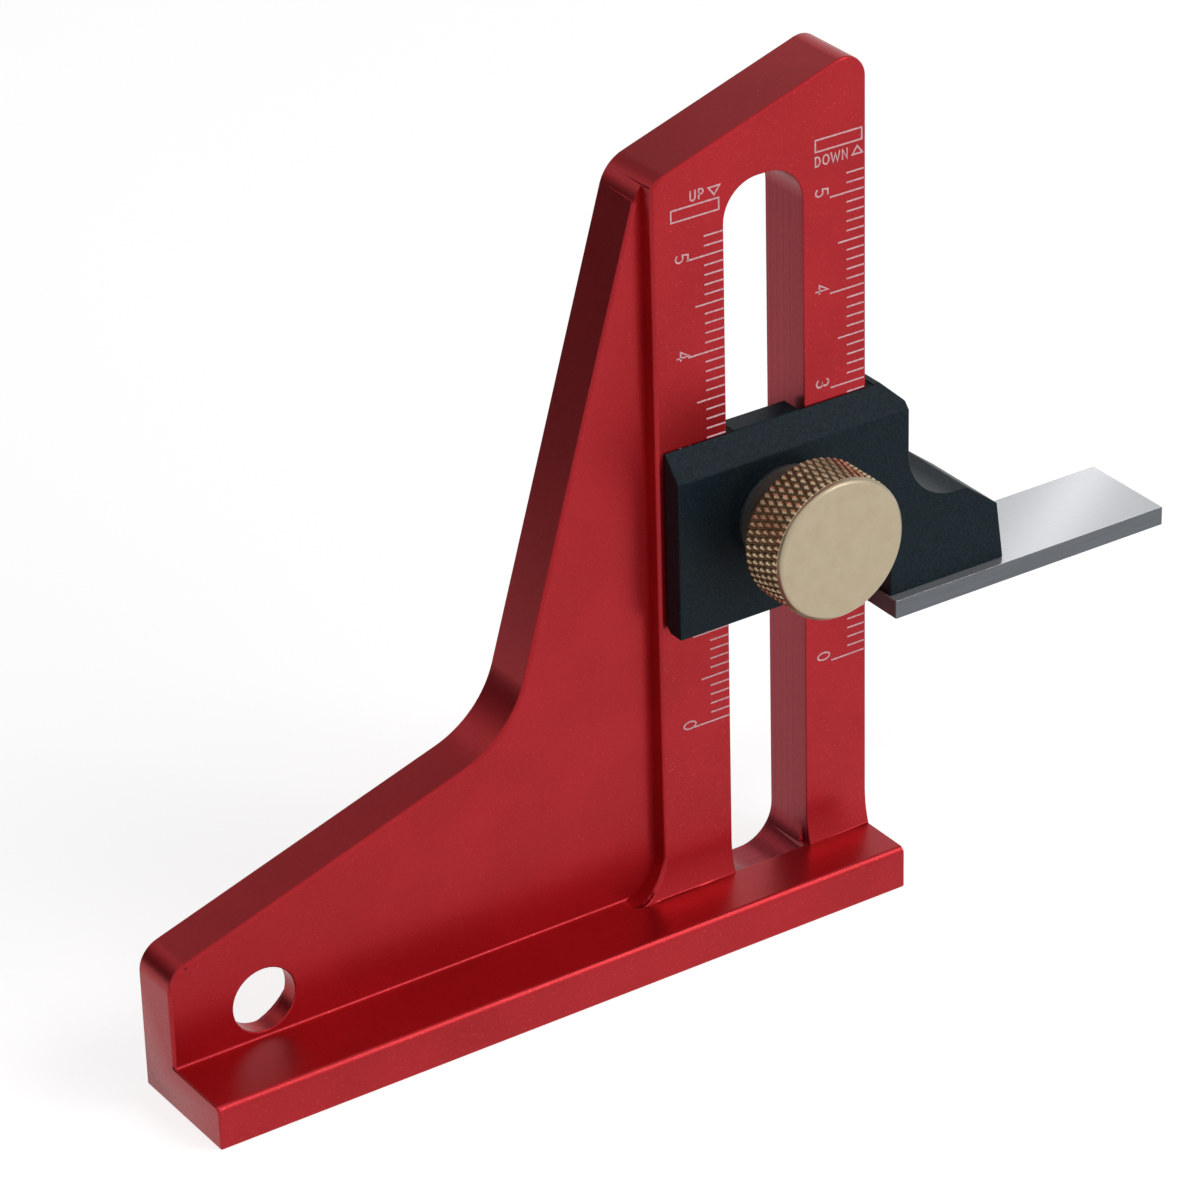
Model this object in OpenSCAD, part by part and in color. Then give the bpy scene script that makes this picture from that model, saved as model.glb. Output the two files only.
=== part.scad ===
// Saw height gauge: a slotted scale column on a foot, and a clamped slider that carries a feeler blade.
// Lengths are millimetres. +X runs along the foot to the blade's end, +Y to the back, +Z up.
// The origin is the centre of the foot's underside.

/* [Foot] */
// Length of the foot
foot_l = 79.4; // [78:0.1:84]
// Depth of the foot from front to back
foot_d = 13.8; // [13:0.1:16]
// Thickness of the foot
foot_t = 4.6; // [3.5:0.1:5]

/* [Web] */
// Thickness of the web
web_t = 5.6; // [4.6:0.1:6]
// Height of the web's left end, at its corner
web_end_h = 14.9; // [13:0.1:17]
// Distance of the web's inner corner from the left end
web_bend_x = 38.7; // [34:0.1:42]
// Height of the web's inner corner
web_bend_h = 27.4; // [22:0.1:31]
// Distance of the upper corner from the left end
web_top_x = 54.6; // [52:0.1:54.8]
// Height of the upper corner
web_top_h = 81.1; // [78:0.1:83]
// Radius of the left end's corner
web_end_r = 3.0; // [1:0.1:4]
// Radius of the inner corner
web_bend_r = 10.5; // [6:0.5:16]
// Radius of the upper corner
web_top_r = 4.0; // [2:0.1:5]
// Diameter of the hole that the gauge hangs by
hang_d = 6.8; // [4:0.1:7]
// Distance of that hole from the left end
hang_x = 10.1; // [9:0.1:14]
// Height of that hole above the foot's underside
hang_h = 8.6; // [8.2:0.1:9.2]

// Thickness that the web keeps round that hole, in front of a round relief
hang_t = 2.1; // [1.5:0.1:3]
// Diameter of that relief in the web's back
relief_d = 12.8; // [9:0.1:13]

/* [Column] */
// Thickness of the column
column_t = 7.2; // [6.4:0.1:7.8]
// Width of the column
column_w = 24.5; // [24.2:0.1:25]
// Height of the column at its top right corner
column_h = 89.2; // [86:0.1:92]
// Radius of that corner
column_top_r = 2.4; // [1:0.1:4]
// Radius of the blend between the column's left side and the foot
column_foot_r = 4.5; // [3:0.1:6]
// Radius of the cutter that blends the column's face into the foot
blend_r = 11.0; // [8:0.5:14]
// Distance that this blend reaches out on the foot
blend_reach = 0.6; // [0.4:0.1:0.9]
// Radius of the fillet between the web and the foot
web_fillet = 0.3; // [0.2:0.1:0.5]
// Width of the slot
slot_w = 9.1; // [8.8:0.1:9.4]
// Width of the strip to the left of the slot
strip_w = 8.1; // [7.8:0.1:8.3]
// Height of the slot's top
slot_h = 79.0; // [77:0.1:80]
// Height of the slot's lower end, which is cut into the foot from the back
slot_base_h = 2.5; // [2:0.1:3]
// Radius of the slot's corners
slot_r = 4.0; // [2:0.1:4.4]
// Depth of the channel behind the slot, in which the nut slides
channel_t = 1.0; // [0.6:0.1:1.6]

/* [Slider] */
// Height of the slider's index edge, which reads the scales
index_h = 53.4; // [44:0.1:60]
// Height of the slider's block
block_h = 19.3; // [17:0.1:21]
// Thickness of the block in front of the column
block_t = 2.3; // [2:0.1:3]
// Height of the bevel that runs down from the index edge
bevel_h = 2.6; // [1.5:0.1:3.5]
// Distance of the block's left side from the column's left side
block_inset = 0.8; // [0.5:0.1:1.5]
// Thickness of the cheek that lies beside the column
cheek_t = 2.7; // [2.4:0.1:3.6]
// Size of the chamfer on the cheek's upper corner
cheek_chamfer = 1.9; // [1:0.1:2.2]
// Gap between the cheek and the column
cheek_gap = 0.8; // [0.3:0.1:1]
// Depth of the tongue that lies in the slot
tongue_t = 2.4; // [2:0.1:2.8]
// Gap at each side of the tongue
tongue_gap = 0.7; // [0.2:0.1:1]
// Running clearance between the block and the column's face
slide_gap = 0.1; // [0.05:0.05:0.2]
// Chamfer on the back of the block's lower edge
block_chamfer = 0.5; // [0.3:0.1:0.8]

/* [Arm] */
// Radius of the scoop between the cheek and the arm
scoop_r = 5.9; // [4:0.1:6.2]
// Depth of the arm from front to back
arm_d = 10.6; // [9.8:0.1:12]
// Distance of the arm's flat ridge below the index edge
ridge_drop = 13.3; // [12:0.1:14]
// Length of that ridge beside the scoop
ridge_l = 1.3; // [0.8:0.1:2]
// Length of the arm's slope
slope_l = 3.7; // [2:0.1:5]
// Drop of that slope
slope_drop = 2.9; // [2:0.1:4]
// Distance that the arm's end leans out on its way down
lean = 0.8; // [0:0.1:1.5]
// Height of the block's underside above the arm's underside
arm_drop = 3.2; // [2:0.1:3.8]
// Distance between the arm and the foot's end
arm_gap = 1.3; // [0.9:0.1:2]

/* [Feeler] */
// Length of the feeler blade
feeler_l = 33.6; // [28:0.1:40]
// Width of the feeler blade
feeler_w = 11.2; // [10.8:0.1:12.4]
// Thickness of the feeler blade, which is the offset between the two scales
feeler_t = 2.0; // [1.8:0.1:2.4]
// Distance that the blade stands out in front of the arm
feeler_front = 1.1; // [0.6:0.1:1.4]
// Distance between the blade's inner end and the arm's inner side
feeler_inset = 0.2; // [0:0.1:0.4]
// Thread diameter of the screws that hold the blade
screw_d = 2.5; // [2:0.1:2.6]
// Diameter of their countersunk heads
screw_head_d = 4.6; // [4:0.1:4.7]
// Length of the screws
screw_l = 5.5; // [4.5:0.1:6]
// Distance between the two screws
screw_pitch = 6.4; // [5.6:0.1:6.6]

/* [Clamp] */
// Diameter of the knob
knob_d = 14.8; // [14:0.1:16]
// Length of the knob's knurled band
knurl_l = 5.3; // [4.5:0.1:6.5]
// Length of the knob's bevelled rim
rim_l = 0.5; // [0.4:0.1:1]
// Length of the smooth shoulder behind the knurl
shoulder_l = 3.3; // [2:0.1:4]
// Diameter of the shoulder where it meets the washer
shoulder_d = 10.6; // [10:0.1:12]
// Depth of the knurl's grooves
knurl_depth = 0.35; // [0.2:0.05:0.5]
// Width of a knurl groove as a multiple of twice its depth
knurl_spread = 1.3; // [1:0.1:1.5]
// Number of grooves round the knob
knurl_count = 40; // [30:2:48]
// Diameter of the washer
washer_d = 10.0; // [9:0.1:11]
// Thickness of the washer
washer_t = 0.8; // [0.5:0.1:1]
// Diameter of the stud
stud_d = 5.0; // [4:0.1:5.2]
// Distance that the stud's thread moves the nut in a turn
thread_pitch = 0.8; // [0.5:0.1:1]
// Turns that the knob makes from clamped to fully loose
loose_turns = 1.5; // [1:0.5:2]
// Distance of the knob's axis below the index edge
knob_drop = 8.9; // [8.2:0.1:9.2]
// Width of the nut behind the column
nut_w = 15.0; // [13:0.1:16]
// Height of the nut
nut_h = 7.6; // [7:0.1:8]
// Thickness of the nut behind the column
nut_t = 2.6; // [2:0.1:3.5]
// Depth of the nut's key in the slot
key_t = 2.2; // [1.5:0.1:2.6]
// Clearance between the key and the slot
key_gap = 0.1; // [0.05:0.05:0.2]
// Thickness of the ring that keeps the nut on the stud
ring_t = 0.6; // [0.5:0.1:0.8]
// Diameter of that ring
ring_d = 7.4; // [6.6:0.1:8]

/* [Hidden] */

// Overrun of every cut
cut = 1.0;
// Chamfer on the foot's long front edge
edge = 0.45;
// Clearance between the stud and the holes that it turns in
stud_gap = 0.08;
// Clearance between the stud and the holes that it passes with room
pass_gap = 0.2;
// Gap between the nut and the channel's floor when clamped
clamp_gap = 0.1;
// Depth of the groove for the ring
groove_depth = 0.6;
// Clearance between the nut and each side of its channel
channel_gap = 0.3;
// Distance that the channel ends above the slot's top
channel_over = 1.2;
// Gap left between the nut and the ring when the knob is fully loose
ring_gap = 0.1;
// Distance that the slot's lower end reaches in front of the column's face
slot_over = 0.3;
// Width of the screws' hexagon sockets across their corners
screw_key_d = 1.7;
// Chamfer on the ends of the stud
stud_chamfer = 0.5;
// Depth that the stud is set into the knob
stud_set = 5.0;
// Side of a knurl groove's square section
groove_side = knurl_depth * knurl_spread * sqrt(2);

// Steps in an arc of an outline
arc_steps = 16;
round_fn = 96;
small_fn = 48;

// Faces and edges of the stand
back_y = foot_d / 2;
front_y = -foot_d / 2;
web_y = back_y - web_t;
column_y = back_y - column_t;
left_x = -foot_l / 2;
right_x = foot_l / 2;
column_x = right_x - column_w;
slot_x0 = column_x + strip_w;
slot_x1 = slot_x0 + slot_w;
slot_x = (slot_x0 + slot_x1) / 2;
slot_y = column_y - slot_over;
channel_y = back_y - channel_t;
channel_x0 = slot_x - nut_w / 2 - channel_gap;
channel_x1 = slot_x + nut_w / 2 + channel_gap;
relief_y = web_y + hang_t;
// Height of the column's blend above the foot
blend_h = sqrt(pow(blend_r, 2) - pow(blend_r - blend_reach, 2));

// Faces and edges of the slider
block_back_y = column_y - slide_gap;
block_y = block_back_y - block_t;
block_x0 = column_x + block_inset;
block_x1 = right_x + cheek_gap + cheek_t;
block_z0 = index_h - block_h;
tongue_x0 = slot_x0 + tongue_gap;
tongue_x1 = slot_x1 - tongue_gap;
arm_x0 = right_x + arm_gap;
arm_z0 = block_z0 - arm_drop;
arm_back_y = block_y + arm_d;
scoop_x = block_x1 + scoop_r;
ridge_z = index_h - ridge_drop;
scoop_z = ridge_z + scoop_r;
ridge_x = scoop_x + ridge_l;
slope_x = ridge_x + slope_l;

// Places of the feeler blade
feeler_x0 = arm_x0 - feeler_inset;
feeler_x1 = feeler_x0 + feeler_l;
feeler_y0 = block_y - feeler_front;
feeler_z1 = arm_z0;
feeler_z0 = feeler_z1 - feeler_t;
screw_x = (arm_x0 + slope_x) / 2;
screw_y = feeler_y0 + feeler_w / 2;
screw_sink = (screw_head_d - screw_d) / 2;

// Places along the knob's axis, from the front to the back
knob_z = index_h - knob_drop;
washer_y = block_y - washer_t;
shoulder_y = washer_y - slide_gap;
knurl_y = shoulder_y - shoulder_l;
rim_y = knurl_y - knurl_l;
face_y = rim_y - rim_l;
knob_r = knob_d / 2;
nut_y = channel_y + clamp_gap;
nut_travel = thread_pitch * loose_turns;
ring_y = nut_y + nut_t + nut_travel + ring_gap;
stud_y1 = ring_y + ring_t + 2 * stud_chamfer;
stud_y0 = shoulder_y - stud_set;

// Points of an outline whose corners are rounded. p is the corners and r their radii.
function unit(v) = v / norm(v);
function corner(a, b, c, r) =
    let (u = unit(a - b), w = unit(c - b), half = acos(max(-1, min(1, u * w))) / 2)
    r == 0 ? [b] :
    let (reach = r / tan(half), m = b + unit(u + w) * r / sin(half))
    let (p0 = b + u * reach, p1 = b + w * reach)
    let (a0 = atan2(p0[1] - m[1], p0[0] - m[0]), a1 = atan2(p1[1] - m[1], p1[0] - m[0]))
    let (turn = a1 - a0 > 180 ? a1 - a0 - 360 : (a1 - a0 < -180 ? a1 - a0 + 360 : a1 - a0))
    [for (i = [0 : arc_steps]) m + r * [cos(a0 + turn * i / arc_steps), sin(a0 + turn * i / arc_steps)]];
function rounded(p, r) =
    [for (i = [0 : len(p) - 1])
        each corner(p[(i + len(p) - 1) % len(p)], p[i], p[(i + 1) % len(p)], r[i])];

// A plate from y0 back to y1 whose outline is drawn in X and Z
module upright(y0, y1) {
    translate([0, y1, 0]) rotate([90, 0, 0]) linear_extrude(y1 - y0) children();
}

// A rod along Y from y0 back to y1, at x and z
module rod(x, z, d, y0, y1, sides = small_fn) {
    translate([x, y1, z]) rotate([90, 0, 0]) cylinder(h = y1 - y0, d = d, $fn = sides);
}

// Outline of the web and the column together
module stand_outline() {
    polygon(rounded(
        [[left_x, 0], [right_x, 0], [right_x, column_h],
         [left_x + web_top_x, web_top_h], [left_x + web_bend_x, web_bend_h], [left_x, web_end_h]],
        [0, 0, column_top_r, web_top_r, web_bend_r, web_end_r]));
}

// Outline of the proud column alone, with its blend into the foot
module column_outline() {
    intersection() {
        stand_outline();
        polygon(rounded(
            [[column_x - 2 * column_foot_r, foot_t - cut], [right_x, foot_t - cut],
             [right_x, column_h + cut], [column_x, column_h + cut], [column_x, foot_t],
             [column_x - 2 * column_foot_r, foot_t]],
            [0, 0, 0, 0, column_foot_r, 0]));
    }
}

// Concave blend of radius r and height h in front of an upright face at y, from x0 to x1
module foot_blend(y, x0, x1, r, h) {
    translate([x0, 0, 0]) rotate([90, 0, 90]) linear_extrude(x1 - x0)
        polygon(concat(
            [[y + cut, foot_t - edge], [y + cut, foot_t + h]],
            [for (i = [0 : arc_steps])
                let (z = h * (1 - i / arc_steps))
                [y - r + sqrt(pow(r, 2) - pow(h - z, 2)), foot_t + z]],
            [[y - r + sqrt(pow(r, 2) - pow(h, 2)), foot_t - edge]]));
}

// An upright pocket with round corners, which is open at the back
module pocket(x0, x1, z0, z1, y0) {
    for (x = [x0 + slot_r, x1 - slot_r], z = [z0 + slot_r, z1 - slot_r])
        rod(x, z, 2 * slot_r, y0, back_y + cut, round_fn);
    translate([x0 + slot_r, y0, z0]) cube([x1 - x0 - 2 * slot_r, back_y + cut - y0, z1 - z0]);
    translate([x0, y0, z0 + slot_r]) cube([x1 - x0, back_y + cut - y0, z1 - z0 - 2 * slot_r]);
}

// The slot, whose lower end is a pocket in the foot, and the channel that runs out below
module slot_cut() {
    pocket(slot_x0, slot_x1, slot_base_h, slot_h, slot_y);
    pocket(channel_x0, channel_x1, -2 * slot_r, slot_h + channel_over, channel_y);
    // Room above the foot, through the blend
    translate([slot_x0, front_y - cut, foot_t])
        cube([slot_w, slot_y - front_y + 2 * cut, blend_h + cut]);
}

module stand() {
    color("#a6242c") difference() {
        union() {
            // Foot with its chamfered front edge
            translate([left_x, 0, 0]) rotate([90, 0, 90]) linear_extrude(foot_l)
                polygon([[front_y, 0], [back_y, 0], [back_y, foot_t], [front_y + edge, foot_t],
                         [front_y, foot_t - edge]]);
            upright(web_y, back_y) stand_outline();
            upright(column_y, back_y) column_outline();
            foot_blend(web_y, left_x, column_x, web_fillet, web_fillet);
            intersection() {
                foot_blend(column_y, column_x - 2 * column_foot_r, right_x, blend_r, blend_h);
                upright(column_y - blend_reach, back_y) column_outline();
            }
        }
        slot_cut();
        rod(left_x + hang_x, hang_h, hang_d, web_y - cut, back_y + cut);
        rod(left_x + hang_x, hang_h, relief_d, relief_y, back_y + cut, round_fn);
    }
}

// Section of the block across its length, with the bevel and the chamfered lower back edge
module block_section() {
    polygon([[block_y, block_z0], [block_back_y - block_chamfer, block_z0],
             [block_back_y, block_z0 + block_chamfer], [block_back_y, index_h],
             [block_y, index_h - bevel_h]]);
}

// Front outline of the cheek and the arm, with the scoop cut out
module arm_outline() {
    polygon(concat(
        [[arm_x0, arm_z0], [slope_x + lean, arm_z0], [slope_x, ridge_z - slope_drop],
         [ridge_x, ridge_z]],
        [for (i = [0 : arc_steps])
            let (a = 270 - 90 * i / arc_steps)
            [scoop_x + scoop_r * cos(a), scoop_z + scoop_r * sin(a)]],
        [[block_x1, index_h - cheek_chamfer], [block_x1 - cheek_chamfer, index_h],
         [block_x1 - cheek_t, index_h], [block_x1 - cheek_t, block_z0], [arm_x0, block_z0]]));
}

module slider() {
    color("#1f282c") difference() {
        union() {
            // Block in front of the column
            intersection() {
                translate([block_x0, 0, 0]) rotate([90, 0, 90]) linear_extrude(block_x1 - block_x0)
                    block_section();
                upright(block_y, block_back_y)
                    polygon([[block_x0, block_z0], [block_x1, block_z0],
                             [block_x1, index_h - cheek_chamfer], [block_x1 - cheek_chamfer, index_h],
                             [block_x0, index_h]]);
            }
            // Tongue in the slot
            translate([tongue_x0, block_back_y - slide_gap, block_z0 + arm_drop])
                cube([tongue_x1 - tongue_x0, tongue_t + slide_gap, block_h - arm_drop]);
            // Cheek and arm beside the column
            intersection() {
                upright(block_y, arm_back_y) arm_outline();
                translate([block_x0, 0, 0]) rotate([90, 0, 90])
                    linear_extrude(slope_x + lean - block_x0)
                    polygon([[block_y, arm_z0], [arm_back_y, arm_z0], [arm_back_y, index_h],
                             [block_back_y, index_h], [block_y, index_h - bevel_h]]);
            }
        }
        // Bore for the stud
        rod(slot_x, knob_z, stud_d + 2 * stud_gap, block_y - cut, back_y);
        // Threaded holes for the blade's screws
        for (s = [-1, 1])
            translate([screw_x + s * screw_pitch / 2, screw_y, arm_z0 - cut])
                cylinder(h = screw_l - feeler_t + 2 * cut, d = screw_d, $fn = small_fn);
    }
}

module feeler_blade() {
    color("#b9bcc0") difference() {
        translate([feeler_x0, feeler_y0, feeler_z0]) cube([feeler_l, feeler_w, feeler_t]);
        for (s = [-1, 1])
            translate([screw_x + s * screw_pitch / 2, screw_y, feeler_z0]) {
                translate([0, 0, -cut]) cylinder(h = feeler_t + 2 * cut, d = screw_d, $fn = small_fn);
                cylinder(h = screw_sink, d1 = screw_head_d, d2 = screw_d, $fn = small_fn);
            }
    }
}

module feeler_screws() {
    color("#8d9196") for (s = [-1, 1])
        translate([screw_x + s * screw_pitch / 2, screw_y, feeler_z0]) difference() {
            union() {
                cylinder(h = screw_l, d = screw_d, $fn = small_fn);
                cylinder(h = screw_sink, d1 = screw_head_d, d2 = screw_d, $fn = small_fn);
            }
            translate([0, 0, -cut])
                cylinder(h = cut + screw_sink / 2, d = screw_key_d, $fn = 6);
        }
}

// Turned form of the knob, with its rim, knurled band, shoulder and the blind hole for the stud
module knob() {
    color("#b79a63") difference() {
        translate([slot_x, 0, knob_z]) rotate([-90, 0, 0]) rotate_extrude($fn = round_fn)
            polygon([[0, face_y], [knob_r - rim_l, face_y], [knob_r, rim_y], [knob_r, knurl_y],
                     [shoulder_d / 2 + rim_l, knurl_y], [shoulder_d / 2, shoulder_y],
                     [stud_d / 2, shoulder_y], [stud_d / 2, stud_y0], [0, stud_y0]]);
        // Straight grooves stand for the diamond knurl
        for (i = [0 : knurl_count - 1])
            translate([slot_x, 0, knob_z]) rotate([0, i * 360 / knurl_count, 0])
                translate([knob_r, rim_y - cut / 2, 0]) rotate([0, 45, 0])
                    translate([-groove_side / 2, 0, -groove_side / 2])
                        cube([groove_side, knurl_l + cut, groove_side]);
    }
}

module knob_washer() {
    color("#9ba0a4") difference() {
        rod(slot_x, knob_z, washer_d, washer_y, block_y);
        rod(slot_x, knob_z, stud_d + 2 * pass_gap, washer_y - cut, block_y + cut);
    }
}

// Stud from the knob through the slot, with a groove for the ring at its tail
module clamp_stud() {
    color("#8d9196") translate([slot_x, 0, knob_z]) rotate([-90, 0, 0])
        rotate_extrude($fn = small_fn)
            polygon([[0, stud_y0], [stud_d / 2, stud_y0], [stud_d / 2, ring_y],
                     [stud_d / 2 - groove_depth, ring_y], [stud_d / 2 - groove_depth, ring_y + ring_t],
                     [stud_d / 2, ring_y + ring_t], [stud_d / 2, stud_y1 - stud_chamfer],
                     [stud_d / 2 - stud_chamfer, stud_y1], [0, stud_y1]]);
}

// Nut behind the column, whose key lies in the slot so that it can't turn
module clamp_nut() {
    color("#7d8286") difference() {
        union() {
            translate([slot_x - nut_w / 2, nut_y, knob_z - nut_h / 2]) cube([nut_w, nut_t, nut_h]);
            translate([slot_x0 + key_gap, channel_y - key_t, knob_z - nut_h / 2])
                cube([slot_w - 2 * key_gap, key_t + clamp_gap + nut_t / 2, nut_h]);
        }
        rod(slot_x, knob_z, stud_d + 2 * stud_gap, channel_y - key_t - cut, nut_y + nut_t + cut);
    }
}

module stud_ring() {
    color("#5b5f63") difference() {
        rod(slot_x, knob_z, ring_d, ring_y, ring_y + ring_t);
        rod(slot_x, knob_z, stud_d - 2 * groove_depth, ring_y - cut, ring_y + ring_t + cut);
        translate([slot_x - groove_depth, ring_y - cut, knob_z - ring_d])
            cube([2 * groove_depth, ring_t + 2 * cut, ring_d]);
    }
}

stand();
slider();
feeler_blade();
feeler_screws();
knob();
knob_washer();
clamp_stud();
clamp_nut();
stud_ring();
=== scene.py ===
# Saw height gauge: the looks of the stand, slider, feeler blade, knob, nut and small hardware.
# Lengths are in metres, in the part's own frame: +X along the foot, +Y to the back, +Z up.
import math

import bmesh
import bpy
from mathutils import Matrix, Vector


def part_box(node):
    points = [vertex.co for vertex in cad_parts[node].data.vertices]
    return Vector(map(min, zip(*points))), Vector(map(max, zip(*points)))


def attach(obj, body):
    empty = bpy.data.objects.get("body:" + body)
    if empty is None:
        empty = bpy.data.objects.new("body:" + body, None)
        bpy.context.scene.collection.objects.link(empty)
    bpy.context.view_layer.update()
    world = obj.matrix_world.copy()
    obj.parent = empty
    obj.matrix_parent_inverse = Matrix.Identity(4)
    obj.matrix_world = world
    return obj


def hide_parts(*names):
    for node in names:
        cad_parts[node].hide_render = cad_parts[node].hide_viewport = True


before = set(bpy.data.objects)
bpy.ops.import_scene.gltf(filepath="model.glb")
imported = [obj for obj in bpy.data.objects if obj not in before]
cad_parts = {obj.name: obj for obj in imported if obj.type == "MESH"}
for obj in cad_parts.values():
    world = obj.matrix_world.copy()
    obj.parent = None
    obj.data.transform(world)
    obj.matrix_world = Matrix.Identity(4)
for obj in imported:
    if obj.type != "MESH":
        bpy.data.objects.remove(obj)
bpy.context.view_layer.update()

MM = 0.001

# Sizes read from the frame
STAND_BACK_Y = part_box("stand")[1].y
KNOB_LOW, KNOB_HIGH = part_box("knob")
STUD_LOW, STUD_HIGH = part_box("clamp_stud")
RING_LOW, RING_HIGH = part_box("stud_ring")
KNOB_X = (KNOB_LOW.x + KNOB_HIGH.x) / 2
KNOB_Z = (KNOB_LOW.z + KNOB_HIGH.z) / 2
KNOB_R = (KNOB_HIGH.x - KNOB_LOW.x) / 2

# Sizes of the stand
FOOT_T = 4.6 * MM
COLUMN_FACE_Y = -0.3 * MM
COLUMN_X = 15.2 * MM
CORNER_Z = 79.0 * MM
SLOT_X = (23.3 * MM, 32.4 * MM)
SLOT_Z = (2.5 * MM, 79.0 * MM)
HOLE_X = -29.6 * MM
HOLE_Z = 8.6 * MM
HOLE_R = 3.4 * MM
# The slot's walls are looked for up to here, in front of the column's face
SLOT_FRONT_Y = COLUMN_FACE_Y - 1.5 * MM

# Widths of the rounded edges, and the number of faces across a rounding
EDGE_MAX = 0.5 * MM
OUTLINE_EDGE = 0.42 * MM
SIDE_EDGE = 0.15 * MM
FOOT_EDGE = 0.22 * MM
SLOT_EDGE = 0.14 * MM
SLIDER_EDGE = 0.14 * MM
BLADE_EDGE = 0.09 * MM
HARDWARE_EDGE = 0.12 * MM
EDGE_STEPS = 3

# Angle above which an edge is rounded, or kept sharp
SHARP = math.radians(28)
# Angle up to which neighbouring faces of a solid are joined to one flat face
FLAT = math.radians(0.3)
# Distances within which the points of a solid are joined
WELD = 0.002 * MM
STAND_WELD = 0.13 * MM
# Distances within which an edge counts as lying on a face or a wall
CLOSE = 0.05 * MM
NEAR = 0.1 * MM
# Upright share of an edge's direction, above which the rounding at the column's right narrows
UPRIGHT_FROM = 0.31
# Greatest share of a slot wall's normal along Y, and of a blade side's normal along Z
WALL_TILT = 0.1
SIDE_TILT = 0.5


def linear(hex_colour):
    """Linear RGBA of an sRGB hex colour."""
    shares = [int(hex_colour[i:i + 2], 16) / 255 for i in (1, 3, 5)]
    return tuple(c / 12.92 if c <= 0.04045 else ((c + 0.055) / 1.055) ** 2.4 for c in shares) + (1.0,)


def add(tree, kind, inputs=None, **settings):
    """Adds a node to a tree, with its settings, and sets or links its inputs."""
    made = tree.nodes.new(kind)
    for name, value in settings.items():
        setattr(made, name, value)
    for name, value in (inputs or {}).items():
        if isinstance(value, bpy.types.NodeSocket):
            tree.links.new(value, made.inputs[name])
        else:
            made.inputs[name].default_value = value
    return made


def bare_material(name):
    """An empty node material and its tree."""
    made = bpy.data.materials.new(name)
    made.use_nodes = True
    made.node_tree.nodes.clear()
    return made, made.node_tree


def new_material(name):
    """An empty node material, its tree and the object's own coordinates in metres."""
    made, tree = bare_material(name)
    place = add(tree, "ShaderNodeTexCoord").outputs["Object"]
    return made, tree, place


def per_metre(size_mm):
    """Texture scale of a pattern whose grains are size_mm across."""
    return 1 / (size_mm * MM)


# Materials
def make_red_anodised():
    """Bead-blasted aluminium, dyed red and anodised: satin, with a soft mottle, and a fine sparkle that is
    painted glint, lighter flecks of colour over spots of lower roughness.
    """
    made, tree, place = new_material("red_bead_blasted_anodised_aluminium")
    # The blasted grain is about 0.05 mm and is drawn at 0.22 mm, so that it shows
    grain = add(tree, "ShaderNodeTexNoise", {"Vector": place, "Scale": per_metre(0.22), "Detail": 3.0,
                                             "Roughness": 0.65})
    cloud = add(tree, "ShaderNodeTexNoise", {"Vector": place, "Scale": per_metre(9.0), "Detail": 2.0})
    cloud_colour = add(tree, "ShaderNodeValToRGB", {"Fac": cloud.outputs["Fac"]})
    cloud_colour.color_ramp.elements[0].position = 0.35
    cloud_colour.color_ramp.elements[0].color = linear("#A61820")
    cloud_colour.color_ramp.elements[1].position = 0.65
    cloud_colour.color_ramp.elements[1].color = linear("#AE1B24")
    # Lighter flecks of colour on the grain's peaks: painted glint
    painted_glint = add(tree, "ShaderNodeValToRGB", {"Fac": grain.outputs["Fac"]})
    painted_glint.color_ramp.elements[0].position = 0.60
    painted_glint.color_ramp.elements[0].color = (0, 0, 0, 1)
    painted_glint.color_ramp.elements[1].position = 0.74
    painted_glint.color_ramp.elements[1].color = (1, 1, 1, 1)
    colour = add(tree, "ShaderNodeMix", {"Factor": painted_glint.outputs["Color"], 6: cloud_colour.outputs["Color"],
                                         7: linear("#CC3A42")}, data_type="RGBA")
    rough = add(tree, "ShaderNodeMapRange", {"Value": grain.outputs["Fac"], "From Min": 0.3,
                                             "From Max": 0.7, "To Min": 0.38, "To Max": 0.28})
    bump = add(tree, "ShaderNodeBump", {"Height": grain.outputs["Fac"], "Strength": 0.35,
                                        "Distance": 0.02 * MM})
    skin = add(tree, "ShaderNodeBsdfPrincipled", {
        "Base Color": colour.outputs[2], "Roughness": rough.outputs["Result"], "Metallic": 0.65,
        "Normal": bump.outputs["Normal"]})
    add(tree, "ShaderNodeOutputMaterial", {"Surface": skin.outputs["BSDF"]})
    return made


def make_slot_wall():
    """Side-milled aluminium under the same dye: duller and more purple, with the cutter's lines."""
    made, tree, place = new_material("red_milled_anodised_slot_wall")
    split = add(tree, "ShaderNodeSeparateXYZ", {"Vector": place})
    # Lines along the slot, 0.35 mm apart across its depth
    across = add(tree, "ShaderNodeCombineXYZ", {"Y": split.outputs["Y"]})
    lines = add(tree, "ShaderNodeTexNoise", {"Vector": across.outputs["Vector"], "Scale": per_metre(0.35),
                                             "Detail": 2.0})
    grain = add(tree, "ShaderNodeTexNoise", {"Vector": place, "Scale": per_metre(0.25), "Detail": 2.0})
    blend = add(tree, "ShaderNodeMix", {"Factor": 0.35, "A": lines.outputs["Fac"],
                                        "B": grain.outputs["Fac"]})
    colour = add(tree, "ShaderNodeValToRGB", {"Fac": blend.outputs["Result"]})
    colour.color_ramp.elements[0].position = 0.35
    colour.color_ramp.elements[0].color = linear("#86222C")
    colour.color_ramp.elements[1].position = 0.65
    colour.color_ramp.elements[1].color = linear("#9A3039")
    bump = add(tree, "ShaderNodeBump", {"Height": blend.outputs["Result"], "Strength": 0.3,
                                        "Distance": 0.02 * MM})
    skin = add(tree, "ShaderNodeBsdfPrincipled", {
        "Base Color": colour.outputs["Color"], "Roughness": 0.36, "Metallic": 0.9,
        "Normal": bump.outputs["Normal"]})
    add(tree, "ShaderNodeOutputMaterial", {"Surface": skin.outputs["BSDF"]})
    return made


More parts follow.
